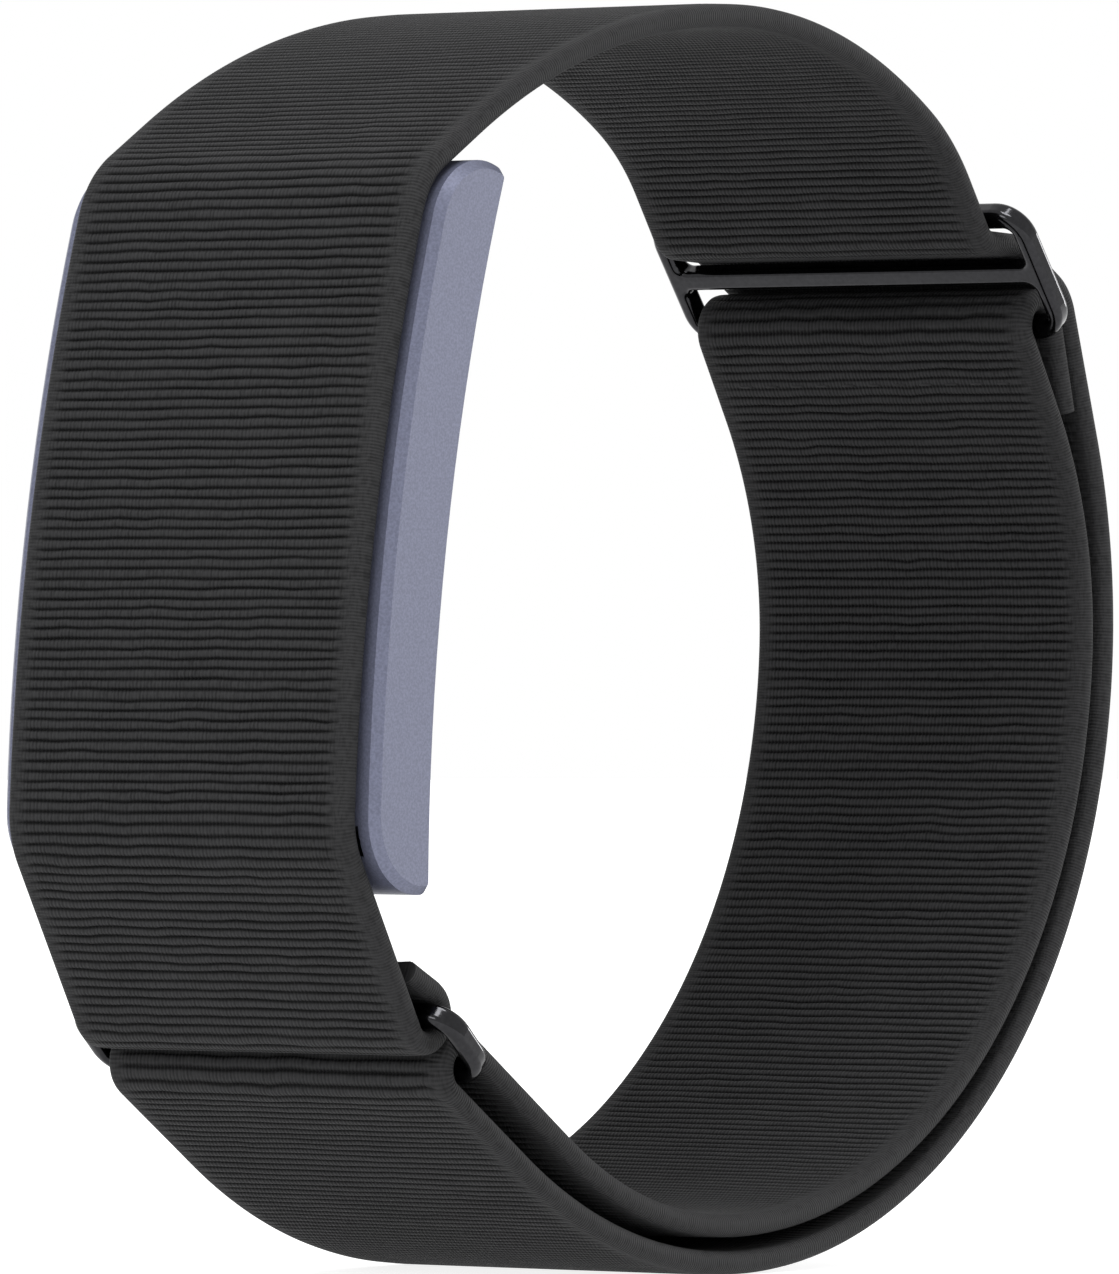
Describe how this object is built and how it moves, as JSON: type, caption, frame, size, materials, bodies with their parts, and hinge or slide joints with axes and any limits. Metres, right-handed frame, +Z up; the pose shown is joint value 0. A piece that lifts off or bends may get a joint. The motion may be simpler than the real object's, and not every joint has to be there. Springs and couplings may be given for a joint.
{
  "type": "fitness tracker band",
  "caption": "Screenless fitness band: a curved sensor pod under a ribbed elastic webbing loop with a tri-glide slider and a lower link, standing on edge as worn.",
  "frame": {"origin": "centre of the wrist opening, midway across the band", "axes": "+Y along the wrist through the opening, +Z up, the sensor pod on the -X side leaning 10 degrees"},
  "size_m": [0.0757, 0.0277, 0.0734],
  "materials": {
    "webbing": "ribbed elastic webbing, matt with a little sheen",
    "tab_webbing": "thin flat webbing",
    "thread": "polyester thread",
    "gunmetal": "polished dark gunmetal",
    "pod_shell": "satin blue-grey",
    "back_shell": "fine matt black",
    "window": "dark tinted polished",
    "seal_rubber": "soft",
    "battery_foil": "crimped pouch foil",
    "board": "solder mask",
    "chip": "moulded",
    "film": "amber film",
    "steel": "plain",
    "led": "clear resin",
    "contact_gold": "gold plated",
    "tungsten": "sintered"
  },
  "bodies": {
    "band": {"cover_webbing": "webbing", "outer_run_webbing": "webbing", "inner_run_webbing": "webbing", "upper_tab_foot": "tab_webbing", "lower_tab": "tab_webbing", "lower_tab_foot": "tab_webbing", "lower_bar": "steel", "upper_tab_stitches": "thread", "lower_tab_stitches": "thread", "cover_hem_stitches": "thread", "slider_hem_stitches": "thread"},
    "slider": {"tri_glide_slider": "gunmetal"},
    "link": {"lower_link": "gunmetal"},
    "tip_near": {"bar_tip_near": "steel"},
    "tip_far": {"bar_tip_far": "steel"},
    "rotor": {"motor_rotor": "tungsten"},
    "pod": {"antenna_film": "film", "back_cover": "back_shell", "bar_spring": "steel", "battery_cell": "battery_foil", "battery_pad": "seal_rubber", "board_chips": "chip", "board_link_film": "film", "board_posts": "back_shell", "board_screws": "steel", "case_seal": "seal_rubber", "charge_contacts": "contact_gold", "green_leds": "led", "light_shade": "back_shell", "main_board": "board", "motor_case": "steel", "motor_shaft": "steel", "photodiodes": "chip", "pod_case": "pod_shell", "red_infrared_led": "led", "sensor_board": "board", "sensor_window": "window", "upper_bar_tube": "steel", "upper_tab": "tab_webbing"}
  },
  "joints": [
    {"name": "pod_swing", "type": "hinge", "parent": "band", "child": "pod", "pos_m": [-0.024, 0, 0.027], "axis": [0, -1, 0], "range_deg": [0, 15]},
    {"name": "slider_side_play", "type": "slide", "parent": "band", "child": "slider", "axis": [0, 1, 0], "range_m": [-0.0002, 0.0002]},
    {"name": "link_side_play", "type": "slide", "parent": "band", "child": "link", "axis": [0, 1, 0], "range_m": [-0.0002, 0.0002]},
    {"name": "tip_near_slide", "type": "slide", "parent": "pod", "child": "tip_near", "axis": [0, 1, 0], "range_m": [0, 0.0013], "stiffness_N_per_m": 200},
    {"name": "tip_far_slide", "type": "slide", "parent": "pod", "child": "tip_far", "axis": [0, -1, 0], "range_m": [0, 0.0013], "stiffness_N_per_m": 200},
    {"name": "motor_spin", "type": "hinge", "parent": "pod", "child": "rotor", "pos_m": [-0.02936, -0.0056, 0.01609], "axis": [0.9661, 0, -0.2582], "continuous": true}
  ]
}
